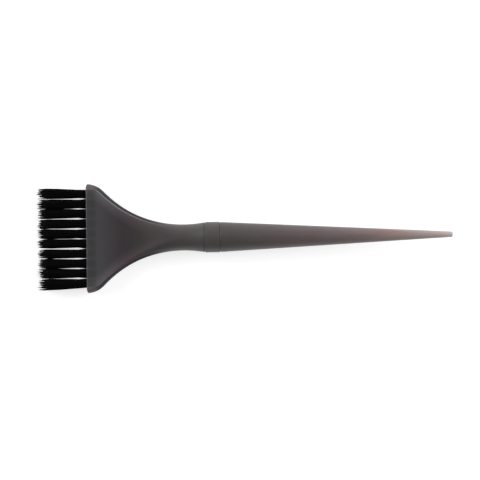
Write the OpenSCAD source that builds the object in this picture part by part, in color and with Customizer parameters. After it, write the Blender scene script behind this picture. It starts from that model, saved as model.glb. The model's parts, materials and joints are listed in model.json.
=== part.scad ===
// Tint brush for hair colour: a one-piece moulded handle whose wide flat head holds two
// rows of folded filament tufts, each locked in its blind hole by a flat wire anchor.
//
// Every piece is first placed along X: the mouth of the head is at x = 0, the bristles
// run towards -X, the tail towards +X, and the rows lie above and below z = 0. The brush
// is then laid down as it rests on a table, on the head's lower edge and on the collar.

/* [Tufts] */
// Tufts in each row
tufts_per_row = 10; // [4:1:12]
// Diameter of a tuft hole
hole_d = 4; // [3:0.1:5]
// Depth of a tuft hole
hole_depth = 5.5; // [5:0.1:7]
// Plastic between neighbouring holes of a row
hole_wall = 1.28; // [1.1:0.01:3]
// Plastic between the two rows of holes
row_wall = 0.8; // [0.6:0.1:3]
// Length of the bristles from the mouth to the trimmed tips
bristle_length = 26; // [15:1:40]
// How much shorter than the trim the shortest strand is
bristle_ragged = 3.5; // [0:0.5:6]
// Outward reach of a tuft's outer strands at the tips, along the row
tuft_spread = 0.5; // [0:0.05:0.55]
// Outward reach of a tuft's outer strands at the tips, across the rows
tuft_thicken = 0.1; // [0:0.05:0.2]
// How far the tips of a row lean towards the other row
row_lean = 0.3; // [0:0.05:0.35]
// How far the tips of the outermost tufts lean outwards
fan_out = 0.4; // [0:0.1:1.5]
// Gap between neighbouring strands where they leave the hole
strand_gap = 0.21; // [0.15:0.01:0.4]
// Thickness of a strand at its tip
strand_tip_d = 0.24; // [0.1:0.02:0.3]

/* [Anchors] */
// Thickness of the flat anchor wire
anchor_t = 0.4; // [0.2:0.05:0.6]
// Width of the flat anchor wire, along the hole
anchor_w = 1.4; // [1:0.1:2.5]
// Bite of each end of the anchor into the wall of its hole
anchor_bite = 0.25; // [0.1:0.05:0.45]
// Room behind the anchor for the filaments folded round it
fold_room = 0.5; // [0.3:0.1:1]

/* [Head] */
// Plastic beside the outermost holes at the mouth
side_wall = 3.2; // [2.4:0.1:6]
// Plastic beside the outermost holes at their bottom, where the shoulders have drawn in
shoulder_wall = 1.86; // [1:0.02:2.2]
// Plastic over and under the holes
face_wall = 1.1; // [0.9:0.1:3]
// Plastic behind the holes before the faces start to dish
hole_floor = 2.5; // [0.5:0.5:4]
// Rounding of the rim round the mouth
mouth_round = 0.7; // [0.3:0.1:0.8]
// Rounding of the head's long edges
edge_round = 2.8; // [1:0.1:4]
// Angle of the shoulders where they run into the neck
shoulder_angle = 46; // [35:1:55]
// Length over which the faces dish to the thinnest place
dish_length = 14; // [8:1:25]
// Thickness of the head at the thinnest place
dish_t = 8.6; // [7:0.1:11]

/* [Handle] */
// Distance from the mouth to the waist, where the neck has become round
neck_length = 51.5; // [40:0.5:80]
// Diameter of the waist
waist_d = 13.86; // [11:0.02:18]
// Length of the swell from the waist to the first groove
swell_length = 10.8; // [5:0.1:30]
// Diameter at the end of the swell
swell_d = 15.8; // [14:0.1:20]
// Width of a groove beside the collar
groove_w = 0.8; // [0.4:0.1:2]
// Depth of a groove beside the collar
groove_depth = 0.35; // [0.1:0.05:1]
// Diameter of the collar
collar_d = 16.2; // [15:0.1:22]
// Length of the collar between its grooves
collar_length = 7.4; // [4:0.1:20]
// Diameter of the tail where it leaves the second groove
tail_root_d = 15.9; // [12:0.1:20]
// Length of the tapering tail
tail_length = 122.5; // [60:0.5:160]
// Diameter of the tail's end
tail_end_d = 2.9; // [2:0.1:8]
// Rounding of the tail's end
tail_end_round = 0.9; // [0.2:0.1:0.9]

/* [Fits] */
// Clearance between a tuft's root and the wall of its hole
root_clearance = 0.02; // [0.01:0.01:0.05]
// Clearance between a tuft's root and the bottom of its hole
floor_clearance = 0.05; // [0.02:0.01:0.1]
// Clearance round an anchor
anchor_clearance = 0.02; // [0.01:0.01:0.05]

/* [Hidden] */
tuft_pitch = hole_d + hole_wall;
row_pitch = hole_d + row_wall;
head_w = (tufts_per_row - 1) * tuft_pitch + hole_d + 2 * side_wall;
head_t = row_pitch + hole_d + 2 * face_wall;
outer_tuft_y = (tufts_per_row - 1) / 2 * tuft_pitch;

// The shoulder is an arc that leaves the mouth square to it. Its radius keeps the
// shoulder wall beside the bottom of the outermost hole.
shoulder_drop = side_wall - shoulder_wall;
shoulder_r = (hole_depth ^ 2 + shoulder_drop ^ 2) / (2 * shoulder_drop);
shoulder_x = shoulder_r * sin(shoulder_angle);
shoulder_y = head_w / 2 - shoulder_r * (1 - cos(shoulder_angle));

// The neck draws in from the shoulder to the waist as a square and a fourth power of
// the distance from the waist, mixed so that it continues the shoulder's angle. It ends
// a hair wider than the round waist, so that flat and round never meet along a tangent.
seam_step = 0.02;
neck_end_d = waist_d + 2 * seam_step;
neck_drop = shoulder_y - neck_end_d / 2;
neck_run = neck_length - shoulder_x;
neck_bend = tan(shoulder_angle) * neck_run / neck_drop / 2 - 1;

// A round core of the grip reaches back into the neck and makes them one body.
core_length = 2;
core_inset = 2;
core_r = waist_d / 2 - core_inset;

band_x = hole_depth + hole_floor;
groove1_x = neck_length + swell_length;
collar_x = groove1_x + groove_w;
groove2_x = collar_x + collar_length;
tail_x = groove2_x + groove_w;
end_x = tail_x + tail_length;

// Laid down, the brush touches the table with the rim under the mouth and the front
// foot of the collar.
rest_angle = atan((collar_d - head_t) / 2 / (collar_x - mouth_round));
rest_lift = head_t / 2 * cos(rest_angle) - mouth_round * sin(rest_angle);
rest_shift = (bristle_length - end_x) / 2 * cos(rest_angle);

// A tuft is a centre strand with rings of strands round it.
strand_rings = 2;
root_d = hole_d - 2 * root_clearance;
root_length = hole_depth - floor_clearance;
root_rim = 0.05;
root_round = 1.2;
ring_pitch = (root_d / 2 - root_rim + strand_gap / 2) / (strand_rings + 0.5);
strand_d = ring_pitch - strand_gap;
strand_root = 0.6;
outer_ring_r = strand_rings * ring_pitch;
tip_wander = 0.1;
bend_at = 0.55;
bend_thin = 0.9;

anchor_x = hole_depth - fold_room - anchor_w;
anchor_l = hole_d + 2 * anchor_bite;

row_names = ["upper", "lower"];
curve_fn = 64;
corner_steps = 8;
rim_steps = 3;
shoulder_steps = 6;
neck_steps = 18;
swell_steps = 10;
end_steps = 4;
through = 1;

function two_digits(n) = n < 10 ? str("0", n) : str(n);
function piece_name(kind, row, i) = str(kind, "_", row_names[row], "_", two_digits(i + 1));

// ---- Shared helpers ----

function mix(a, b, t) = a + (b - a) * t;
function ease(x, from, to) =
    let (t = min(max((x - from) / (to - from), 0), 1))
    t * t * (3 - 2 * t);

// Lays a piece down on the table.
module laid_down() {
    translate([rest_shift, 0, rest_lift])
        rotate([0, -rest_angle, 0])
            children();
}

// Moves a piece from the origin to the axis of one tuft hole.
module at_hole(row, i) {
    translate([0, i * tuft_pitch - outer_tuft_y, (row == 0 ? 1 : -1) * row_pitch / 2])
        children();
}

// A solid of revolution about X, from points of [radius, x].
module turned(points) {
    rotate([0, 90, 0])
        rotate_extrude($fn = curve_fn)
            polygon(points);
}

// A closed skin of triangles over rings of points that follow each other along +X, each
// ring turning from +Y to +Z.
module skin(rings) {
    sides = len(rings[0]);
    last = (len(rings) - 1) * sides;
    walls = [
        for (k = [0 : len(rings) - 2], i = [0 : sides - 1])
            let (
                a = k * sides + i,
                b = k * sides + (i + 1) % sides,
                c = b + sides,
                d = a + sides
            )
            each [[a, d, c], [a, c, b]]
    ];
    front = [for (i = [1 : sides - 2]) [0, i, i + 1]];
    back = [for (i = [1 : sides - 2]) [last, last + i + 1, last + i]];
    polyhedron(points = [for (ring = rings) each ring], faces = concat(front, walls, back));
}

// ---- Handle ----

// Half width of the head and neck at x.
function half_width(x) =
    let (u = (neck_length - x) / neck_run)
    x < shoulder_x
        ? head_w / 2 - shoulder_r + sqrt(shoulder_r ^ 2 - x ^ 2)
        : neck_end_d / 2 + neck_drop * ((1 - neck_bend) * u ^ 2 + neck_bend * u ^ 4);

// Half thickness of the head and neck at x: full over the holes, then dished, then
// growing to the round waist.
function half_thickness(x) =
    x < band_x + dish_length
        ? mix(head_t, dish_t, ease(x, band_x, band_x + dish_length)) / 2
        : mix(dish_t, neck_end_d, ease(x, band_x + dish_length, neck_length)) / 2;

// Corner radius of the section at x: the edge rounding over the holes, and the whole
// half thickness at the waist, which makes the section round there.
function corner_r(x) = mix(edge_round, half_thickness(x), ease(x, band_x, neck_length));

// One section: a rectangle with corners of radius r, drawn round its arcs so that the
// flats keep their true distance.
function section(x, y, z, r) =
    let (step = 90 / corner_steps, reach = r / cos(step / 2))
    [
        for (corner = [0 : 3], i = [0 : corner_steps - 1])
            let (
                angle = 90 * corner + step * (i + 0.5),
                side = (corner == 0 || corner == 3) ? 1 : -1,
                face = corner < 2 ? 1 : -1
            )
            [x, side * (y - r) + reach * cos(angle), face * (z - r) + reach * sin(angle)]
    ];

// Distances of the sections from the mouth, after the rim.
function stations() = [
    for (i = [1 : shoulder_steps]) shoulder_r * sin(shoulder_angle * i / shoulder_steps),
    for (i = [1 : neck_steps]) mix(shoulder_x, neck_length, i / neck_steps)
];

module head_and_neck() {
    rim = [
        for (i = [0 : rim_steps])
            let (
                angle = 90 * i / rim_steps,
                x = mouth_round * (1 - cos(angle)),
                inset = mouth_round * (1 - sin(angle))
            )
            section(x, half_width(x) - inset, head_t / 2 - inset, edge_round - inset)
    ];
    body = [
        for (x = stations())
            if (x > mouth_round)
                section(x, half_width(x), half_thickness(x), corner_r(x))
    ];
    skin(concat(rim, body));
}

// Outline of the round part, from the waist over the collar to the tail's end.
module grip_and_tail() {
    swell = [
        for (i = [0 : swell_steps])
            let (t = i / swell_steps)
            [mix(waist_d, swell_d, t ^ 2) / 2, neck_length + swell_length * t]
    ];
    end_r = tail_end_d / 2;
    tail_end = [
        for (i = [0 : end_steps])
            let (angle = 90 * i / end_steps)
            [
                end_r - tail_end_round * (1 - cos(angle)),
                end_x - tail_end_round * (1 - sin(angle))
            ]
    ];
    turned(concat(
        [[0, neck_length - core_length]],
        [[core_r, neck_length - core_length]],
        [[core_r, neck_length]],
        swell,
        [[swell_d / 2 - groove_depth, groove1_x + groove_w / 2]],
        [[collar_d / 2, collar_x]],
        [[collar_d / 2, groove2_x]],
        [[tail_root_d / 2 - groove_depth, groove2_x + groove_w / 2]],
        [[tail_root_d / 2, tail_x]],
        tail_end,
        [[0, end_x]]
    ));
}

module handle() {
    color("#4b4747")
        laid_down()
            difference() {
                union() {
                    head_and_neck();
                    grip_and_tail();
                }
                for (row = [0, 1], i = [0 : tufts_per_row - 1])
                    at_hole(row, i) {
                        translate([-through, 0, 0])
                            rotate([0, 90, 0])
                                cylinder(d = hole_d, h = hole_depth + through, $fn = curve_fn);
                        anchor_space();
                    }
            }
}

// ---- Tufts ----

// Filament ends vary, so each tuft draws its own numbers, the same ones every time.
function tuft_seed(row, i) = 1 + row * tufts_per_row + i;

// Where the strands leave the hole, [y, z] from the middle of the tuft.
function strand_roots() = [
    [0, 0],
    for (ring = [1 : strand_rings], i = [0 : 6 * ring - 1])
        let (angle = 60 * i / ring)
        ring * ring_pitch * [cos(angle), sin(angle)]
];

// A square ring of points round [y, z] at x.
function strand_ring(x, at, d) = [
    for (i = [0 : 3]) [x, at[0] + d / 2 * cos(90 * i + 45), at[1] + d / 2 * sin(90 * i + 45)]
];

// One strand from its tip back into the root. tip is [y, z] at the trimmed end, and the
// strand keeps close to the hole's direction at first and bends away further out.
module strand(root, tip, length) {
    bend = mix(root, tip, bend_at ^ 2);
    skin([
        strand_ring(-length, tip, strand_tip_d),
        strand_ring(-length * bend_at, bend, strand_d * bend_thin),
        strand_ring(strand_root, root, strand_d)
    ]);
}

// All strands of one tuft. Tips are the roots spread apart evenly, so none cross.
module strands(row, i) {
    roots = strand_roots();
    inward = row == 0 ? -1 : 1;
    lean = [fan_out * (i * tuft_pitch - outer_tuft_y) / outer_tuft_y, inward * row_lean];
    spread = [1 + tuft_spread / outer_ring_r, 1 + tuft_thicken / outer_ring_r];
    cuts = rands(0, 1, len(roots), tuft_seed(row, i));
    wander = rands(-tip_wander, 0, len(roots), tuft_seed(row, i));
    for (k = [0 : len(roots) - 1]) {
        cut = k == 0 ? 0 : cuts[k] * bristle_ragged;
        tip = [
            roots[k][0] * spread[0] + lean[0] + wander[k],
            roots[k][1] * spread[1] + lean[1]
        ];
        strand(roots[k], tip, bristle_length - cut);
    }
}

// The bound root that fills the hole, round where the filaments fold behind the anchor.
module tuft_root() {
    fold = [
        for (i = [0 : end_steps])
            let (angle = 90 * i / end_steps)
            [
                root_d / 2 - root_round * (1 - cos(angle)),
                root_length - root_round * (1 - sin(angle))
            ]
    ];
    turned(concat([[0, 0]], [[root_d / 2, 0]], fold, [[0, root_length]]));
}

module tuft(row, i) {
    color("#151416")
        laid_down()
            at_hole(row, i)
                difference() {
                    union() {
                        tuft_root();
                        strands(row, i);
                    }
                    anchor_space();
                }
}

// ---- Anchors ----

// The flat wire of an anchor, grown by a clearance all round.
module anchor_wire(grow) {
    translate([anchor_x - grow, -anchor_l / 2 - grow, -anchor_t / 2 - grow])
        cube([anchor_w + 2 * grow, anchor_l + 2 * grow, anchor_t + 2 * grow]);
}

module anchor_space() {
    anchor_wire(anchor_clearance);
}

module anchor(row, i) {
    color("#a3a19c")
        laid_down()
            at_hole(row, i)
                anchor_wire(0);
}

// ---- Pieces ----

handle();
for (row = [0, 1], i = [0 : tufts_per_row - 1]) {
    tuft(row, i);
    anchor(row, i);
}
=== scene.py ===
# %% [markdown]
# # A tint brush
#
# A tint brush spreads hair colour. Its wide flat head holds two rows of black filament
# tufts, its neck narrows to a round waist, and its long tapering tail parts the hair.
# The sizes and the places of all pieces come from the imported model, which is loaded
# first and never moved. This file adds the looks: a smooth smoky plastic handle, 2,400
# folded filaments, a rolled metal finish for the anchors, a table and its lights.

import json
import math

import bpy
import numpy as np
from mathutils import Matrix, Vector


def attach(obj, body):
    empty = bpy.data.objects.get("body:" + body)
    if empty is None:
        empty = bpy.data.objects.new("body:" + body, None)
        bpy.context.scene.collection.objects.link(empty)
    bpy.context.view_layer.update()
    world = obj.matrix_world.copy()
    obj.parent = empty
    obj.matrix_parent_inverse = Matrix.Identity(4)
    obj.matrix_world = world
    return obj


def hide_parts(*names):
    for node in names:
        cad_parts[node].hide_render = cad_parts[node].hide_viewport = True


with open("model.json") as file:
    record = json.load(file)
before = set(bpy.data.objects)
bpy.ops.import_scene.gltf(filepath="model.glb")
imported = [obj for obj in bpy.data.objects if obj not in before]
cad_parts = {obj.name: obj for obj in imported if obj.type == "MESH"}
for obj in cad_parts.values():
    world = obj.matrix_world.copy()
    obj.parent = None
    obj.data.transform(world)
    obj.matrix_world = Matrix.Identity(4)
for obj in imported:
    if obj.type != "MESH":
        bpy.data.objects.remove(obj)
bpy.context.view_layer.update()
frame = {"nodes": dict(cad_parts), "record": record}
mm = 0.001
print("packed nodes:", len(frame["nodes"]))

# %% [markdown]
# ## Where the brush lies
#
# The brush rests on the rim of its head and on its collar, so its axis climbs a little
# towards the tail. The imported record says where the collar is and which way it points.
# That gives three directions that belong to the brush: along it, across it and out of
# its broad face. Every shape below is worked out in millimetres along those three, from
# the middle of the mouth, and `place` turns such points into places on the table.

# %% The brush's own directions
mounts = {m["name"]: m for m in frame["record"]["mounts"]}
collar = mounts["collar"]
collar_r = collar["dims"]["r_mm"]
collar_length = collar["dims"]["length_mm"]

neck_length = 51.5
swell_length = 10.8
groove_w = 0.8
collar_x = neck_length + swell_length + groove_w

along = np.array(collar["axis"])
across = np.array([0.0, 1.0, 0.0])
outward = np.cross(along, across)
collar_middle = np.array(collar["pos_m"]) / mm
mouth = collar_middle - along * (collar_x + collar_length / 2)


def place(points):
    """Points [x, y, z] in brush millimetres, as metres on the table: the mouth's place
    plus x times along, y times across and z times outward."""
    axes = np.stack([along, across, outward])
    return (mouth + np.asarray(points) @ axes) * mm


print("mouth at", np.round(mouth, 3), "climb", round(math.degrees(math.asin(along[2])), 3))

# %% [markdown]
# ## Small helpers
#
# A mesh is filled from whole arrays with `foreach_set`, which is fast even for a few
# hundred thousand corners. All faces here are four-sided except caps, so one helper
# takes quads and another list of larger caps.


# %% A mesh from arrays
def mesh_piece(name, points, quads, caps=()):
    """An object at the origin whose mesh holds points (in metres), smooth quads, and
    flat caps of any number of corners."""
    loops = np.concatenate([np.asarray(quads).ravel(), *[np.asarray(c) for c in caps]])
    totals = np.concatenate([np.full(len(quads), 4), [len(c) for c in caps]]).astype(int)
    starts = np.concatenate([[0], np.cumsum(totals)[:-1]])
    mesh = bpy.data.meshes.new(name)
    mesh.vertices.add(len(points))
    mesh.vertices.foreach_set("co", np.asarray(points, np.float32).ravel())
    mesh.loops.add(len(loops))
    mesh.loops.foreach_set("vertex_index", loops.astype(np.int32))
    mesh.polygons.add(len(totals))
    mesh.polygons.foreach_set("loop_start", starts.astype(np.int32))
    mesh.polygons.foreach_set("loop_total", totals.astype(np.int32))
    mesh.polygons.foreach_set("use_smooth", totals == 4)
    mesh.update(calc_edges=True)
    mesh.validate()
    piece = bpy.data.objects.new(name, mesh)
    bpy.context.scene.collection.objects.link(piece)
    return piece


# %% [markdown]
# A material is a small tree of nodes. One function adds a node of any kind together with
# its settings and links, so that each finish below reads from top to bottom. The four
# settings that come up again and again are named once. Colours are written as sRGB hex,
# as a picker shows them, and turned to linear, which the shader works in.


# %% Nodes, colours and a smooth step
def linear(hex_colour):
    """An sRGB hex colour as linear red, green, blue and alpha."""
    srgb = np.array([int(hex_colour[i : i + 2], 16) for i in (1, 3, 5)]) / 255
    low = srgb / 12.92
    high = ((srgb + 0.055) / 1.055) ** 2.4
    return (*np.where(srgb <= 0.04045, low, high), 1.0)


def add(tree, kind, settings=None, **inputs):
    """Adds a node of a kind. settings are its own properties. Each input is a value, a
    socket to link from, or a node, whose first live output is then linked. Inputs go by
    their identifiers, with an underscore for a space."""
    node = tree.nodes.new(kind)
    for key, value in (settings or {}).items():
        setattr(node, key, value)
    sockets = {socket.identifier.replace(" ", "_"): socket for socket in node.inputs}
    for key, value in inputs.items():
        if isinstance(value, bpy.types.Node):
            value = next(socket for socket in value.outputs if socket.enabled)
        if isinstance(value, bpy.types.NodeSocket):
            tree.links.new(value, sockets[key])
        else:
            sockets[key].default_value = value
    return node


smooth = {"interpolation_type": "SMOOTHSTEP"}
times = {"operation": "MULTIPLY"}
larger = {"operation": "MAXIMUM"}
colours = {"data_type": "RGBA"}


def new_material(name):
    """An empty material and its node tree, with only the output node."""
    material = bpy.data.materials.new(name)
    material.use_nodes = True
    tree = material.node_tree
    tree.nodes.clear()
    return material, tree, tree.nodes.new("ShaderNodeOutputMaterial")


def ease(x, start, end):
    """0 before start, 1 after end, and a smooth S between them."""
    t = np.clip((np.asarray(x, float) - start) / (end - start), 0, 1)
    return t * t * (3 - 2 * t)


# %% [markdown]
# ## Camera
#
# The brush is seen from straight above, with a long lens, as a product on a copy stand.
# A long lens keeps the nearer tail and the lower head at almost the same scale.

# %% Camera
view_width = 254.4
view_centre_x = 81.3
view_drop = 1.72
roll = math.radians(-0.7)
lens = 180
sensor = 36
camera_height = view_width / sensor * lens

camera_data = bpy.data.cameras.new("camera")
camera_data.lens = lens
camera_data.sensor_width = sensor
camera_data.clip_end = 100
camera = bpy.data.objects.new("camera", camera_data)
bpy.context.scene.collection.objects.link(camera)
aim = place([view_centre_x, -view_drop, 0])
camera.location = (aim[0], aim[1], aim[2] + camera_height * mm)
camera.rotation_euler = (0, 0, roll)
bpy.context.scene.camera = camera
print("camera height", round(camera.location.z, 3))

# %% [markdown]
# ## Table and light
#
# The brush lies on a white table between two soft boxes, one at each end. Light that
# comes along the handle models its sides without a hard line on them. The table is a
# plain matt white. To the camera, and to what is mirrored or seen through, it glows a
# little by itself, so that it shows white, and the brush's soft shadow still falls on it.

# %% Table
table_size = 6.0
table_z = -0.00005
half = table_size / 2
corners = [[-half, -half], [half, -half], [half, half], [-half, half]]
table = mesh_piece("table", [[*corner, table_z] for corner in corners], [[0, 1, 2, 3]])
table_material, tree, out = new_material("matt white table")
matt = add(tree, "ShaderNodeBsdfDiffuse", Color=linear("#f0f0f0"))
pale = add(tree, "ShaderNodeBsdfDiffuse", Color=(0.45, 0.45, 0.45, 1))
lift = add(tree, "ShaderNodeEmission", Color=(1, 1, 1, 1), Strength=0.75)
seen = add(tree, "ShaderNodeLightPath")
straight = add(
    tree, "ShaderNodeMath", larger,
    Value=seen.outputs["Is Camera Ray"], Value_001=seen.outputs["Is Glossy Ray"],
)
straight = add(
    tree, "ShaderNodeMath", larger,
    Value=straight, Value_001=seen.outputs["Is Transmission Ray"],
)
both = add(tree, "ShaderNodeAddShader", Shader=pale, Shader_001=lift)
mix = add(tree, "ShaderNodeMixShader", Fac=straight, Shader=matt, Shader_001=both)
tree.links.new(mix.outputs[0], out.inputs["Surface"])
table.data.materials.append(table_material)


# %% Lights
def soft_light(name, place_at, aim_at, size, power):
    """A rectangular area light at a place, turned to face a point."""
    data = bpy.data.lights.new(name, "AREA")
    data.shape = "RECTANGLE"
    data.size, data.size_y = size
    data.energy = power
    light = bpy.data.objects.new(name, data)
    bpy.context.scene.collection.objects.link(light)
    light.location = place_at
    back = Vector(place_at) - Vector(aim_at)
    light.rotation_euler = back.to_track_quat("Z", "Y").to_euler()
    return light


box_size = (1.0, 0.8)
box_power = 13
for end in (-1, 1):
    soft_light(f"softbox {end + 2}", (1.2 * end, 0.45, 0.85), (0, 0, 0), box_size, box_power)
print("soft boxes of", box_power, "W at both ends")

# %% [markdown]
# Round the table stands a light tent. Its wall is bright beyond the upper edge of the
# brush and dimmer on the near side, and its top is open and dark. So a flat face that
# looks straight up keeps its own dark colour, while a rounded edge catches the wall.
# The world's direction says how high and how far across a ray goes.

# %% Light tent
world = bpy.data.worlds.new("light tent")
bpy.context.scene.world = world
world.use_nodes = True
tree = world.node_tree
tree.nodes.clear()
out = tree.nodes.new("ShaderNodeOutputWorld")
direction = add(tree, "ShaderNodeTexCoord")
axes = add(tree, "ShaderNodeSeparateXYZ", Vector=direction.outputs["Generated"])
wall = add(
    tree, "ShaderNodeMapRange", smooth,
    Value=axes.outputs["Y"], From_Min=-0.9, From_Max=0.9, To_Min=0.45, To_Max=1.1,
)
open_top = add(
    tree, "ShaderNodeMapRange", smooth,
    Value=axes.outputs["Z"], From_Min=0.1, From_Max=0.8, To_Min=1.0, To_Max=0.25,
)
strength = add(tree, "ShaderNodeMath", times, Value=wall, Value_001=open_top)
tent = add(tree, "ShaderNodeBackground", Color=(1, 1, 1, 1), Strength=strength)
tree.links.new(tent.outputs[0], out.inputs["Surface"])

bpy.context.scene.view_settings.view_transform = "Standard"
print("world:", world.name)

# %% [markdown]
# ## The handle's shape
#
# The handle is one injection moulding. Seen from above, its shoulder is an arc and its
# neck a smooth curve down to the waist; a parabola swells it out to the collar between
# two fine grooves, and the tail is a plain taper. One section can serve the whole
# length: a rectangle with round corners, whose half width, half thickness and corner
# radius change along the brush. Where all three are equal the section is a circle. So
# the handle is one surface of two parameters, the station along it and the step round
# it. This is easier to keep smooth than several bodies joined by modifiers.

# %% Sizes of the handle, in millimetres
tufts_per_row = 10
hole_d = 4.0
hole_depth = 5.5
hole_wall = 1.28
row_wall = 0.8
side_wall = 3.2
shoulder_wall = 1.86
face_wall = 1.1
hole_floor = 2.5
mouth_round = 0.7
edge_round = 2.8
shoulder_angle = math.radians(46)
dish_length = 14.0
dish_t = 8.6
waist_r = 6.93
swell_r = 7.9
groove_depth = 0.38
groove_spread = 0.24
flank_steps = 16
face_steps = 36
tail_root_r = 7.95
tail_length = 122.5
tail_end_r = 1.45
tail_end_round = 0.9

tuft_pitch = hole_d + hole_wall
row_pitch = hole_d + row_wall
head_r = ((tufts_per_row - 1) * tuft_pitch + hole_d) / 2 + side_wall
head_t = row_pitch + hole_d + 2 * face_wall
groove1_x = neck_length + swell_length
groove2_x = collar_x + collar_length
tail_x = groove2_x + groove_w
end_x = tail_x + tail_length
band_x = hole_depth + hole_floor

shoulder_drop = side_wall - shoulder_wall
shoulder_r = (hole_depth**2 + shoulder_drop**2) / (2 * shoulder_drop)
shoulder_x = shoulder_r * math.sin(shoulder_angle)
shoulder_y = head_r - shoulder_r * (1 - math.cos(shoulder_angle))
neck_run = neck_length - shoulder_x
neck_drop = shoulder_y - waist_r
neck_bend = math.tan(shoulder_angle) * neck_run / neck_drop / 2 - 1
print("head", round(2 * head_r, 2), "x", head_t, "handle length", end_x)


# %% Outline of the handle
def round_part(x):
    """Radius of the round part: a parabola from the waist to the collar, the collar and
    the straight taper of the tail, less a bell-shaped dip at each groove's middle."""
    t = np.linspace(0, 1, 25)
    swell = waist_r + (swell_r - waist_r) * t**2
    stops = [*(neck_length + swell_length * t), collar_x, groove2_x, tail_x, end_x]
    radii = [*swell, collar_r, collar_r, tail_root_r, tail_end_r]
    dip = sum(
        np.exp(-(((x - start - groove_w / 2) / groove_spread) ** 2))
        for start in (groove1_x, groove2_x)
    )
    return np.interp(x, stops, radii) - groove_depth * dip


def half_width(x):
    """Half width at x: the shoulder's arc, then the waist's radius plus a mix of the
    square and the fourth power of the distance from the waist, then the round part."""
    x = np.asarray(x, float)
    arc = head_r - shoulder_r + np.sqrt(np.maximum(shoulder_r**2 - x**2, 0))
    u = (neck_length - x) / neck_run
    neck = waist_r + neck_drop * ((1 - neck_bend) * u**2 + neck_bend * u**4)
    return np.where(x < shoulder_x, arc, np.where(x < neck_length, neck, round_part(x)))


def half_thickness(x):
    """Half thickness at x: full over the tuft holes, dished behind them by a smooth S,
    then growing by another S to the round waist."""
    x = np.asarray(x, float)
    thin_x = band_x + dish_length
    dish = head_t + (dish_t - head_t) * ease(x, band_x, thin_x)
    grow = dish_t + (2 * waist_r - dish_t) * ease(x, thin_x, neck_length)
    flat = np.where(x < thin_x, dish, grow) / 2
    return np.where(x < neck_length, flat, round_part(x))


def corner_radius(x):
    """Corner radius of the section at x: the edge rounding at the head, and the whole
    half thickness from the waist on, where the section is a circle."""
    share = ease(x, band_x, neck_length)
    return edge_round + (half_thickness(x) - edge_round) * share


def ridge_inset(x):
    """How far inside the outline the face ends in a crisp ridge, square to the outline:
    wide at the mouth, narrow along the neck, a fixed share of the round part."""
    waist_inset = 1.1
    head = np.interp(x, [0, 6, 12, 30, neck_length], [2.4, 1.75, 1.4, 1.3, waist_inset])
    return np.where(x < neck_length, head, waist_inset / waist_r * corner_radius(x))


# %% [markdown]
# Along the head and neck each face ends in a fine ridge, where the two halves of the
# mould draw apart: outside it a steep flank drops to the side. Towards the waist the
# flank swells out until the section is plainly round. So a quarter of the section has
# two parts. The upper one runs from the middle of the face to the ridge, the lower one
# from the ridge down the flank, and the lower one is a blend of flank and round corner.
#
# The stations lie close together where the outline bends: at the rounded rim, round
# each groove and at the tail's end. A quarter circle closes the rim and another the
# tail, so that no hard edge is left where the mould had none.


# %% Handle surface
def handle_stations():
    """Stations [x, inset], where inset shrinks the section evenly: a quarter circle at
    the rim, even steps along the head, neck, swell, collar and tail, finer steps round
    the two grooves, and a quarter circle at the tail's end."""
    turn = np.linspace(0, math.pi / 2, 9)
    rim = np.stack([mouth_round * (1 - np.cos(turn)), mouth_round * (1 - np.sin(turn))], 1)
    reach = 3 * groove_spread
    groove1, groove2 = groove1_x + groove_w / 2, groove2_x + groove_w / 2
    body = np.concatenate([
        np.linspace(mouth_round, shoulder_x, 24)[1:],
        np.linspace(shoulder_x, neck_length, 80)[1:],
        np.linspace(neck_length, groove1 - reach, 24)[1:],
        np.linspace(groove1 - reach, groove1 + reach, 21)[1:],
        np.linspace(groove1 + reach, groove2 - reach, 10)[1:],
        np.linspace(groove2 - reach, groove2 + reach, 21)[1:],
        np.linspace(groove2 + reach, end_x - tail_end_round, 90)[1:],
    ])
    body = np.stack([body, np.zeros(len(body))], 1)
    tip = np.stack([
        end_x - tail_end_round * (1 - np.sin(turn)),
        tail_end_round * (1 - np.cos(turn)),
    ], 1)[1:]
    return np.concatenate([rim, body, tip])


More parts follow.
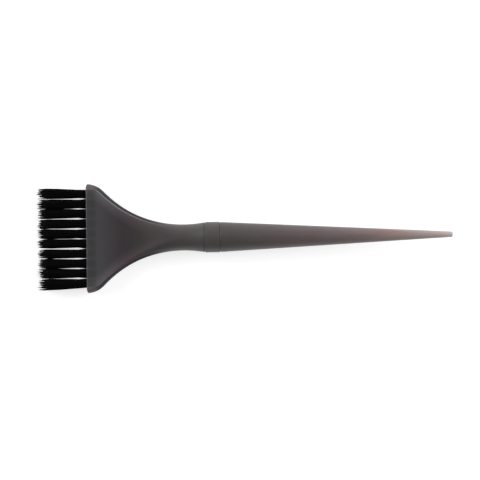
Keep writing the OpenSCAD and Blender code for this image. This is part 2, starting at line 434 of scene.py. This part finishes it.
def handle_surface():
    """Points of the handle on a grid of stations and steps round it. The flank is a
    parabola: with u from 0 at the side's middle to 1 at the ridge, it goes in by the
    square of u, and up by 2u(1 - u) times its foot plus the square of u times the
    ridge. The round corner goes up the flat side and on round its arc. The upper part
    goes on round the arc at a third of the pace, then in along the flat face."""
    x, inset = (column[:, None] for column in handle_stations().T)
    w, t, r = half_width(x) - inset, half_thickness(x) - inset, corner_radius(x) - inset
    slope = np.where(x < neck_length, (half_width(x + 0.01) - half_width(x - 0.01)) / 0.02, 0)
    reach = ridge_inset(x) * r / corner_radius(x)
    across_reach = np.minimum(reach * np.sqrt(1 + slope**2), 0.86 * r)
    tilt = np.arcsin(1 - across_reach / r)
    ridge_z = t - r + r * np.cos(tilt)
    steepness = np.interp(x, [0, 3, 9], [1.2, 1.2, 1.5])
    foot = np.clip(ridge_z - reach * steepness, 0.1 * t, ridge_z)

    u = np.arange(flank_steps) / flank_steps
    gone = u * (t - r + r * (math.pi / 2 - tilt))
    turn = np.maximum(gone - (t - r), 0) / r
    round_y = w - r + r * np.cos(turn)
    round_z = np.minimum(gone, t - r) + r * np.sin(turn)
    flank_y = w - across_reach * u**2
    flank_z = 2 * u * (1 - u) * foot + u**2 * ridge_z
    crisp = 1 - ease(x, 24, 47)
    lower_y = round_y + crisp * (flank_y - round_y)
    lower_z = round_z + crisp * (flank_z - round_z)

    v = np.arange(face_steps + 1) / face_steps
    gone = v * (3 * r * tilt + w - r)
    turn = math.pi / 2 - tilt + np.minimum(gone / (3 * r), tilt)
    upper_y = w - r + r * np.cos(turn) - np.maximum(gone - 3 * r * tilt, 0)
    upper_z = t - r + r * np.sin(turn)

    y = np.concatenate([lower_y, upper_y], 1)
    z = np.concatenate([lower_z, upper_z], 1)
    y = np.concatenate([y[:, :-1], -y[:, :0:-1], -y[:, :-1], y[:, :0:-1]], 1)
    z = np.concatenate([z[:, :-1], z[:, :0:-1], -z[:, :-1], -z[:, :0:-1]], 1)
    return np.stack([np.broadcast_to(x, y.shape), y, z], 2)


def ring_quads(rings, around):
    """Quads between neighbouring rings of points that turn from +Y to +Z and follow
    each other along +X, facing outwards."""
    a = np.arange(rings - 1)[:, None] * around + np.arange(around)
    b = np.arange(rings - 1)[:, None] * around + (np.arange(around) + 1) % around
    return np.stack([a, b, b + around, a + around], 2).reshape(-1, 4)


# %% Build the handle
surface = handle_surface()
rings, around = surface.shape[:2]
mouth_cap = np.arange(around)[::-1]
tail_cap = np.arange(around) + (rings - 1) * around
handle = mesh_piece(
    "smoky_handle",
    place(surface.reshape(-1, 3)),
    ring_quads(rings, around),
    [mouth_cap, tail_cap],
)
print("handle surface", rings, "x", around)

# %% [markdown]
# The plastic needs to know where on the section it is, so the surface carries three
# numbers. `shallow` runs from 1 near the outline of the head to 0 some 8 mm inside it,
# where the head is too thick for light. `flank` is 1 on the steep flanks, which get a
# painted shade. The third is 1 on the ridge along the upper edge, which gets a painted
# highlight. All three fade out towards the waist.

# %% Numbers for the plastic
station = surface[..., 0]
half_ring = around // 2
from_side = np.minimum(np.arange(around) % half_ring, -np.arange(around) % half_ring)
inward = half_width(station) - np.abs(surface[..., 1])
# The steep flanks: their base colour gets a painted shade, and their roughness rises.
flank = (from_side < flank_steps) * (0.5 + 0.5 * ease(station, 3, 8))
flank = flank * (1 - ease(station, 30, 46))
shallow = np.clip((8.5 - inward) / 5.5, 0, 1) * (1 - ease(station, 20, 44))
shallow = shallow * (1 - flank) * (0.6 + 0.4 * ease(station, 2, 9))
# The ridge along the upper edge, where a highlight is painted.
ridge = np.isin(from_side, (flank_steps, flank_steps + 1)) * (surface[..., 1] > 0)
ridge_highlight = ridge * ease(station, 4, 8) * (1 - ease(station, 22, 46))
for label, share in (("shallow", shallow), ("flank", flank), ("ridge_highlight", ridge_highlight)):
    handle.data.attributes.new(label, "FLOAT", "POINT").data.foreach_set(
        "value", share.ravel().astype(np.float32)
    )
    print(label, "on", int((share > 0.5).sum()), "of", share.size, "points")

# %% [markdown]
# The twenty tuft holes are drilled into the mouth with a Boolean modifier, because the
# mouth is one flat face and a flat face takes round holes cleanly. One cutter object
# holds all twenty plugs. It is thrown away once the modifier is applied.


# %% Tuft holes
def tuft_middles():
    """[y, z] of each hole, upper row first, from -Y to +Y."""
    y = (np.arange(tufts_per_row) - (tufts_per_row - 1) / 2) * tuft_pitch
    upper = np.stack([y, np.full(len(y), row_pitch / 2)], 1)
    lower = np.stack([y, np.full(len(y), -row_pitch / 2)], 1)
    return upper, lower


def plug_points(middle, steps):
    """Two rings of a plug from 1 mm before the mouth to the hole's depth, 0.01 mm
    deeper so that no two faces of the cut lie on one plane."""
    angle = 2 * math.pi * np.arange(steps) / steps
    ring = np.stack([np.cos(angle), np.sin(angle)], 1) * hole_d / 2 + middle
    ends = [np.column_stack([np.full(steps, x), ring]) for x in (-1.0, hole_depth + 0.01)]
    return np.concatenate(ends)


plug_steps = 48
plugs = [plug_points(m, plug_steps) for row in tuft_middles() for m in row]
offsets = np.arange(len(plugs)) * 2 * plug_steps
quads = (ring_quads(2, plug_steps)[None] + offsets[:, None, None]).reshape(-1, 4)
caps = [np.arange(plug_steps)[::-1] + o for o in offsets]
caps += [np.arange(plug_steps) + plug_steps + o for o in offsets]
cutter = mesh_piece("hole_cutter", place(np.concatenate(plugs)), quads, caps)
drill = handle.modifiers.new("tuft holes", "BOOLEAN")
drill.operation = "DIFFERENCE"
drill.solver = "EXACT"
drill.object = cutter
bpy.context.view_layer.objects.active = handle
bpy.ops.object.modifier_apply(modifier=drill.name)
bpy.data.objects.remove(cutter)
handle.data.set_sharp_from_angle(angle=math.radians(42))
print("handle faces after drilling:", len(handle.data.polygons))

# %% [markdown]
# ## The handle's plastic
#
# The handle is polypropylene tinted a smoky grey, injection moulded in a tool with a
# fine satin texture. The tint is even, but light gets through the thin tail and is lost
# in the thick head, so the tail looks a warm light grey and the head almost black. A
# real volume would be slow and would not survive an export, so the depth is painted: one
# colour ramp along the brush, and a little subsurface light. The filament roots show
# through the plastic as a band of darker teeth just behind the mouth. The ramp reads
# Object coordinates, turned by a Mapping node so that x is millimetres along the brush.


# %% Brush coordinates inside a material
def brush_coordinates(tree):
    """The point in brush millimetres, its x and its y: Object coordinates times a
    thousand, turned by the brush's climb and moved so that the mouth is at zero."""
    climb = math.asin(along[2])
    turned = np.stack([along, across, outward]) @ mouth
    where = add(tree, "ShaderNodeTexCoord")
    turn = add(
        tree, "ShaderNodeMapping",
        Vector=where.outputs["Object"],
        Scale=(1000, 1000, 1000),
        Rotation=(0, climb, 0),
        Location=tuple(-turned),
    )
    axes = add(tree, "ShaderNodeSeparateXYZ", Vector=turn.outputs[0])
    return turn.outputs[0], axes.outputs["X"], axes.outputs["Y"]


# %% Smoky polypropylene
smoke = [
    (0.0, "#404042"), (5.5, "#3f3e40"), (9.0, "#403d40"), (18.0, "#342f32"),
    (24.0, "#322c2e"), (30.0, "#35302f"), (34.0, "#3a3536"), (40.0, "#403b3c"),
    (46.0, "#464142"), (51.5, "#494444"), (58.0, "#4a4747"), (72.0, "#4a4646"),
    (80.0, "#4d4847"), (86.0, "#504b4a"), (97.0, "#564f4f"), (110.0, "#5d5555"),
    (123.0, "#64595a"), (136.0, "#6d6161"), (149.0, "#796e6d"), (162.0, "#8d7f7c"),
    (171.0, "#978b88"), (180.0, "#a19592"), (188.0, "#b3a39f"), (193.8, "#bbb6b4"),
]

plastic, tree, out = new_material("satin moulded smoky polypropylene")
point, x, y = brush_coordinates(tree)
share = add(tree, "ShaderNodeMapRange", Value=x, From_Max=end_x)
ramp = add(tree, "ShaderNodeValToRGB", Fac=share)
stops = ramp.color_ramp.elements
stops[0].position, stops[0].color = 0.0, linear(smoke[0][1])
stops[1].position, stops[1].color = 1.0, linear(smoke[-1][1])
for station, colour in smoke[1:-1]:
    stops.new(station / end_x).color = linear(colour)
print("smoke colours along the handle:", len(stops))

# %% [markdown]
# The filament roots darken the smoke, one tooth for each tuft, as deep as the holes.
# Their ends are ragged, so each tooth's end is moved by a noise 1.1 mm across. Beyond
# the last tuft the corners of the head have no roots in them, and light from the table
# gets through them. That light is painted: the corners are drawn lighter and browner.
# PINGPONG folds y into the distance from the middle between two tufts.

# %% Roots and corners
ragged = add(tree, "ShaderNodeTexNoise", Vector=point, Scale=1 / 1.1, Detail=2.0)
ragged = add(tree, "ShaderNodeMapRange", Value=ragged, To_Min=-1.0, To_Max=1.0)
folded = {"operation": "PINGPONG"}
turns = add(tree, "ShaderNodeMath", folded, Value=y, Value_001=tuft_pitch / 2)
tooth = add(tree, "ShaderNodeMapRange", smooth, Value=turns, From_Min=0.2, From_Max=1.3)
aside = add(tree, "ShaderNodeMath", {"operation": "ABSOLUTE"}, Value=y)
field = add(tree, "ShaderNodeMapRange", smooth, Value=aside, From_Min=26.6, From_Max=25.4)
deep = add(
    tree, "ShaderNodeMath", {"operation": "MULTIPLY_ADD"},
    Value=ragged, Value_001=1.2, Value_002=x,
)
holes = add(
    tree, "ShaderNodeMapRange", smooth,
    Value=deep, From_Min=hole_depth + 0.6, From_Max=hole_depth - 1.6,
)
tooth = add(tree, "ShaderNodeMapRange", Value=tooth, To_Min=0.18, To_Max=0.42)
tooth = add(tree, "ShaderNodeMath", times, Value=tooth, Value_001=holes)
tooth = add(tree, "ShaderNodeMath", times, Value=tooth, Value_001=field)
body = add(
    tree, "ShaderNodeMix", colours,
    Factor_Float=tooth, A_Color=ramp, B_Color=linear("#231f21"),
)
# Painted light: the corners beyond the tufts are drawn lighter and browner, where light from
# the table gets through them.
beyond = add(tree, "ShaderNodeMapRange", smooth, Value=aside, From_Min=25.2, From_Max=27.0)
front = add(tree, "ShaderNodeMapRange", smooth, Value=x, From_Min=9.0, From_Max=4.0, To_Max=0.8)
corner = add(tree, "ShaderNodeMath", times, Value=beyond, Value_001=front)
body = add(
    tree, "ShaderNodeMix", colours,
    Factor_Float=corner, A_Color=body, B_Color=linear("#584e4b"),
)

# %% [markdown]
# Light from the table gets into the head near its outline, so its broad faces brighten
# towards their edges. Outside the ridge the flank lies in the shade of the head. That
# shade is painted: the flank is drawn darker. The ridge along the upper edge catches the
# light, and that highlight is painted as a pale line. A melt that has flowed through a
# mould is never quite even: faint warm clouds some 9 mm across drift through it, and
# along the round grip and tail the clouds are drawn out into streaks 45 mm long.

# %% Light in the edges, painted shade and highlight, clouds and streaks
shallow = add(tree, "ShaderNodeAttribute", {"attribute_name": "shallow"})
glow = add(tree, "ShaderNodeHueSaturation", Saturation=1.1, Value=2.1, Color=body)
body = add(
    tree, "ShaderNodeMix", colours,
    Factor_Float=shallow.outputs["Fac"], A_Color=body, B_Color=glow,
)
# Painted shade: the steep flank, in the shade of the head, is drawn darker.
flank = add(tree, "ShaderNodeAttribute", {"attribute_name": "flank"})
dark = add(tree, "ShaderNodeMapRange", Value=flank.outputs["Fac"], To_Max=0.7)
body = add(
    tree, "ShaderNodeMix", colours,
    Factor_Float=dark, A_Color=body, B_Color=linear("#181214"),
)
# Painted highlight: a pale line on the upper ridge, where it catches the light.
ridge_highlight = add(tree, "ShaderNodeAttribute", {"attribute_name": "ridge_highlight"})
ridge_glint = add(tree, "ShaderNodeMapRange", Value=ridge_highlight.outputs["Fac"], To_Max=0.75)
body = add(
    tree, "ShaderNodeMix", colours,
    Factor_Float=ridge_glint, A_Color=body, B_Color=linear("#8f8d97"),
)
clouds = add(
    tree, "ShaderNodeTexNoise",
    Vector=point, Scale=1 / 9.0, Detail=2.0, Roughness=0.5,
)
warm = add(
    tree, "ShaderNodeMapRange", smooth,
    Value=clouds, From_Min=0.42, From_Max=0.7, To_Max=0.4,
)
tint = add(tree, "ShaderNodeHueSaturation", Saturation=1.7, Value=1.1, Color=body)
body = add(tree, "ShaderNodeMix", colours, Factor_Float=warm, A_Color=body, B_Color=tint)
drawn = add(tree, "ShaderNodeMapping", Vector=point, Scale=(1 / 45, 1 / 2.2, 1 / 2.2))
streaks = add(tree, "ShaderNodeTexNoise", Vector=drawn, Scale=1.0, Detail=3.0, Roughness=0.6)
brown = add(
    tree, "ShaderNodeMapRange", smooth,
    Value=streaks, From_Min=0.45, From_Max=0.68, To_Max=0.5,
)
grip = add(tree, "ShaderNodeMapRange", smooth, Value=x, From_Min=30.0, From_Max=55.0)
brown = add(tree, "ShaderNodeMath", times, Value=brown, Value_001=grip)
rosy = add(tree, "ShaderNodeHueSaturation", Hue=0.495, Saturation=2.0, Value=0.95, Color=body)
body = add(tree, "ShaderNodeMix", colours, Factor_Float=brown, A_Color=body, B_Color=rosy)

# %% [markdown]
# The satin comes from spark erosion in the mould, a grain of about 0.05 mm. That is too
# fine to show here, so the bump is drawn at 0.3 mm and very shallow. It breaks the
# highlights as the finer grain does. A second, wider wave is the slight sink that thick
# polypropylene takes as it cools. Roughness 0.4 and IOR 1.49 are usual for this plastic.
# The flank was left rougher in the mould, so that the part lets go of it.

# %% Satin surface
grain = add(
    tree, "ShaderNodeTexNoise",
    Vector=point, Scale=1 / 0.3, Detail=2.0, Roughness=0.6,
)
sink = add(tree, "ShaderNodeTexNoise", Vector=point, Scale=1 / 14.0, Detail=1.0)
soft = add(tree, "ShaderNodeBump", Strength=0.6, Distance=0.00025, Height=sink)
fine = add(tree, "ShaderNodeBump", Strength=0.35, Distance=0.00003, Height=grain, Normal=soft)
uneven = add(tree, "ShaderNodeMapRange", Value=grain, To_Min=0.36, To_Max=0.46)
matter = add(
    tree, "ShaderNodeMix",
    Factor_Float=flank.outputs["Fac"], A_Float=uneven.outputs[0], B_Float=0.85,
)
shader = add(
    tree, "ShaderNodeBsdfPrincipled",
    Base_Color=body, Roughness=matter, Normal=fine,
    IOR=1.49, Subsurface_Weight=0.12, Subsurface_Scale=0.002,
    Subsurface_Radius=(1.0, 0.8, 0.7),
)
tree.links.new(shader.outputs[0], out.inputs["Surface"])
handle.data.materials.append(plastic)
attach(handle, "root")
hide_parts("handle")
print("handle dressed")

# %% [markdown]
# ## Filaments
#
# Each tuft is a bundle of black nylon filaments, folded in half over a flat anchor of
# rolled wire and driven into its hole. So each filament is one tube with two legs: it
# comes in from a tip, runs down the hole on one side of the anchor, turns behind it and
# comes out on the other side. Hair curves would be quick but do not become a clean
# mesh, so the tubes are swept here: a centre line of 23 points, and three points round
# each, for all filaments of a tuft in one array.
#
# The hole squeezes the bundle, so the filaments flare as soon as they leave the mouth.
# Farther out the bundles drift together: some gaps between them close halfway, others
# stay open to the tips. A list gives each gap's width at nine places along the free
# length, and the tufts fill what is left.

# %% Sizes of the filaments, in millimetres
filaments_per_tuft = 120
filament_d = 0.24
free_length = 24.5
root_r = hole_d / 2 - filament_d / 2 - 0.03
anchor_front = 3.6
anchor_back = 5.0
anchor_half_t = 0.2
clump_reach = 0.5
clump_crown = 1.9
cut_spread = 0.8
stray_share = 0.08
tip_pull = 0.45
gap_stations = [0.0, 0.02, 0.055, 0.1, 0.2, 0.36, 0.6, 0.85, 1.0]
gap_widths = [
    [1.30, -0.05, 0.02, 0.28, 0.72, 0.40, 0.02, -0.10, -0.10],
    [1.30, -0.05, 0.02, 0.24, 0.64, 0.46, 0.06, -0.05, 0.00],
    [1.30, -0.05, 0.00, 0.18, 0.62, 0.42, 0.16, 0.05, 0.10],
    [1.30, -0.05, 0.02, 0.26, 0.98, 0.86, 0.64, 0.42, 0.42],
    [1.30, -0.05, 0.00, 0.16, 0.46, 0.10, 0.04, 0.02, 0.05],
    [1.30, -0.05, 0.02, 0.30, 0.80, 0.60, 0.24, 0.10, 0.10],
    [1.30, -0.05, 0.00, 0.22, 0.78, 0.52, 0.16, 0.10, 0.20],
    [1.30, -0.05, 0.02, 0.20, 0.56, 0.08, -0.15, -0.15, -0.05],
    [1.30, -0.05, 0.14, 0.46, 0.82, 0.50, 0.24, 0.14, 0.25],
]
outer_edge = {
    1: [25.72, 25.95, 26.00, 26.00, 26.05, 26.25, 26.65, 26.90, 26.95],
    -1: [25.72, 26.10, 26.20, 26.30, 26.45, 26.70, 27.05, 27.20, 27.20],
}
print("legs in all:", 4 * tufts_per_row * filaments_per_tuft)


# %% How a tuft leaves its hole
def tuft_edges(number, s):
    """The -Y and +Y edge of a tuft at s, from 0 at the mouth to 1 at the tips: the
    middle of each gap, half the gap's width away from it, or the field's outer edge."""
    edges = []
    for k, side in ((number, 1), (number + 1, -1)):
        if k in (0, tufts_per_row):
            outer = 1 if k else -1
            edges.append(outer * np.interp(s, gap_stations, outer_edge[outer]))
        else:
            middle = (k - tufts_per_row / 2) * tuft_pitch
            edges.append(middle + side * np.interp(s, gap_stations, gap_widths[k - 1]) / 2)
    return edges


def tuft_legs(number, row, random):
    """Centre lines of all legs of one tuft, in brush millimetres, as [leg, station, 3].
    The roots fill the hole as sunflower seeds fill a disc. Outside, a leg keeps its
    share of the tuft's width and thickness, wanders a little within its edges, and near
    the tips is drawn to the middle of its clump, whose own tip is crowned."""
    count = 2 * filaments_per_tuft
    seed = np.arange(count) + 0.5
    turn = seed * math.pi * (3 - math.sqrt(5)) + random.uniform(0, 6.28)
    v = np.sqrt(seed / count) * np.cos(turn)
    w = np.sqrt(seed / count) * np.sin(turn)
    order = np.argsort(w)
    order = np.stack([order[:filaments_per_tuft], order[filaments_per_tuft:]])
    order = np.stack([half[np.argsort(v[half])] for half in order])
    v, w = v[order].T.reshape(-1), w[order].T.reshape(-1)
    side = np.tile([-1.0, 1.0], filaments_per_tuft)

    clumps = random.integers(5, 8)
    starts = np.sort(np.linspace(-1, 1, clumps + 1)[:-1] + random.uniform(-0.15, 0.15, clumps))
    starts[0] = -1.01
    clump = np.searchsorted(starts, v) - 1
    limits = np.append(starts, 1.0)
    middle = (limits[clump] + limits[clump + 1]) / 2
    reach = random.uniform(-clump_reach, clump_reach, clumps)[clump]
    off = np.abs(v - middle) / ((limits[clump + 1] - limits[clump]) / 2)

    length = free_length + 0.2 + reach - clump_crown * off**1.5
    length = length + random.normal(0, cut_spread, count)
    stray = random.random(count) < stray_share
    length = np.where(stray, length + random.uniform(0.3, 1.4, count), length)
    length = np.clip(length, 21.0, free_length + 2.0)

    s = np.array(gap_stations[::-1])
    low, high = tuft_edges(number, s)
    room = filament_d / 2
    half = (high - low) / 2 - room
    pull = tip_pull * ease(s, 0.84, 1.0)
    across_share = v[:, None] + (middle - v)[:, None] * pull
    bow = random.normal(0, 0.10, (count, 1)) * np.sin(math.pi * s) * (1 - s)
    splay = np.where(stray, random.normal(0, 0.45, count), random.normal(0, 0.10, count))
    y = (low + high) / 2 + across_share * half + bow + splay[:, None] * s**2
    loose = 0.06 + 0.5 * ease(s, 0.8, 1.0)
    y = np.clip(y, low + room - loose, high - room + loose)
    thick = root_r + 0.25 * s
    lift = random.normal(0, 0.12, count)
    z = row * (row_pitch / 2 - 0.15 * s) + w[:, None] * thick + lift[:, None] * s**2
    x = -s * length[:, None]
    free = np.stack([x, y, z], 2)

    centre = (number - (tufts_per_row - 1) / 2) * tuft_pitch
    clear = anchor_half_t + filament_d / 2 + 0.02
    y_in = v * root_r * 0.97
    z_room = np.sqrt(root_r**2 - y_in**2)
    z_in = side * (clear + np.abs(w) * root_r * (z_room - clear) / z_room)
    inside = [
        np.stack([np.full(count, x_in), centre + y_in, row * row_pitch / 2 + z_in], 1)
        for x_in in (anchor_front - 0.4, anchor_back - 0.05)
    ]
    return np.concatenate([free, np.stack(inside, 1)], 1)


def folded_lines(legs):
    """Joins each lower leg to its upper leg behind the anchor. The fold is one point
    midway between the two legs' ends, behind the anchor by half the room there."""
    down, up = legs[0::2], legs[1::2, ::-1]
    fold = (down[:, -1] + up[:, 0]) / 2
    fold[:, 0] = (anchor_back + hole_depth) / 2
    return np.concatenate([down, fold[:, None], up], 1)


# %% [markdown]
# A tube needs a frame at each point of its line. The filaments all run nearly along the
# brush, except at the fold, so one fixed direction across the brush serves as the first
# side direction, and the second is square to it and to the line. The tips are ground,
# so the last ring of each leg is drawn in to a bit less than half.


# %% Tubes
def tube_rings(lines, radius):
    """Three points round each point of each line: the line's direction is the
    difference of its neighbours, and the ring lies square to it."""
    run = np.gradient(lines, axis=1)
    run /= np.linalg.norm(run, axis=2, keepdims=True)
    side = np.cross(run, [0.0, 1.0, 0.0])
    side /= np.linalg.norm(side, axis=2, keepdims=True)
    other = np.cross(run, side)
    turn = np.arange(3) * math.tau / 3
    ring = side[:, :, None] * np.cos(turn)[:, None] + other[:, :, None] * np.sin(turn)[:, None]
    return lines[:, :, None] + ring * radius[:, None, None]


def tuft_piece(name, number, row):
    """One tuft as a mesh: rings of three round every filament, quads between them and a
    cap on each tip. The filament attribute is one random number for each filament, so
    that no two have quite the same black."""
    random = np.random.default_rng(100 * number + 7 * (row + 2))
    lines = folded_lines(tuft_legs(number, row, random))
    stations = lines.shape[1]
    radius = np.full(stations, filament_d / 2)
    radius[[0, -1]] *= 0.45
    points = tube_rings(lines, radius)
    count = len(lines)
    first = np.arange(count)[:, None] * stations * 3
    quads = ring_quads(stations, 3)[None] + first[:, None]
    start = first + np.arange(3)[::-1]
    end = first + (stations - 1) * 3 + np.arange(3)
    piece = mesh_piece(name, place(points.reshape(-1, 3)), quads.reshape(-1, 4), [*start, *end])
    shade = np.repeat(random.random(count), stations * 3)
    piece.data.attributes.new("filament", "FLOAT", "POINT").data.foreach_set(
        "value", shade.astype(np.float32)
    )
    return piece


tufts = {}
for row, row_name in ((1, "upper"), (-1, "lower")):
    for number in range(tufts_per_row):
        node = f"tuft_{row_name}_{number + 1:02d}"
        tufts[node] = tuft_piece(f"filaments_{row_name}_{number + 1:02d}", number, row)
print("tufts:", len(tufts), "faces in one:", len(next(iter(tufts.values())).data.polygons))

# %% [markdown]
# ## The filaments' nylon
#
# The filaments are black nylon 6, drawn through a die and cut to length. Drawing leaves
# the surface smooth with a faint gloss along the strand. Each filament takes a slightly
# different black from its own number, and fine streaks some 8 mm long and 0.3 mm apart
# vary its gloss. The real ones are finer still, but would not show.

# %% Drawn black nylon
nylon, tree, out = new_material("drawn black nylon")
own = add(tree, "ShaderNodeAttribute", {"attribute_name": "filament"})
point = brush_coordinates(tree)[0]
drawn = add(tree, "ShaderNodeMapping", Vector=point, Scale=(0.12, 3.0, 3.0))
streaks = add(tree, "ShaderNodeTexNoise", Vector=drawn, Scale=1.0, Detail=2.0)
shade = add(
    tree, "ShaderNodeMix",
    Factor_Float=0.5, A_Float=own.outputs["Fac"], B_Float=streaks.outputs["Fac"],
)
black = add(
    tree, "ShaderNodeMix", colours,
    Factor_Float=shade, A_Color=linear("#020203"), B_Color=linear("#080809"),
)
rough = add(tree, "ShaderNodeMapRange", Value=streaks, To_Min=0.4, To_Max=0.55)
bump = add(tree, "ShaderNodeBump", Strength=0.3, Distance=0.00002, Height=streaks)
shader = add(
    tree, "ShaderNodeBsdfPrincipled",
    Base_Color=black, Roughness=rough, Normal=bump, IOR=1.53, Specular_IOR_Level=0.08,
)
tree.links.new(shader.outputs[0], out.inputs["Surface"])
for node, piece in tufts.items():
    piece.data.materials.append(nylon)
    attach(piece, "root")
    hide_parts(node)
print("nylon on", len(tufts), "tufts")

# %% [markdown]
# ## Anchors
#
# An anchor is a short length of flat rolled wire, nickel silver here, with its ends
# bitten into the hole's wall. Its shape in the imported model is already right, so only
# its finish is added: rolling leaves fine lines along the wire, 0.06 mm apart, which
# vary its tone and its gloss. Nothing of it shows once the tufts are in.

# %% Rolled nickel silver
wire, tree, out = new_material("rolled nickel silver wire")
point = brush_coordinates(tree)[0]
drawn = add(tree, "ShaderNodeMapping", Vector=point, Scale=(1 / 0.06, 0.4, 1 / 0.06))
lines = add(tree, "ShaderNodeTexNoise", Vector=drawn, Scale=1.0, Detail=2.0)
silver = add(
    tree, "ShaderNodeMix", colours,
    Factor_Float=lines, A_Color=linear("#b3ada3"), B_Color=linear("#cfcac0"),
)
rough = add(tree, "ShaderNodeMapRange", Value=lines, To_Min=0.25, To_Max=0.42)
bump = add(tree, "ShaderNodeBump", Strength=0.4, Distance=0.00001, Height=lines)
shader = add(
    tree, "ShaderNodeBsdfPrincipled",
    Base_Color=silver, Metallic=1.0, Roughness=rough, Normal=bump,
)
tree.links.new(shader.outputs[0], out.inputs["Surface"])
anchors = [o for name, o in frame["nodes"].items() if name.startswith("anchor_")]
for anchor in anchors:
    anchor.data.materials.clear()
    anchor.data.materials.append(wire)
print("anchors:", len(anchors))
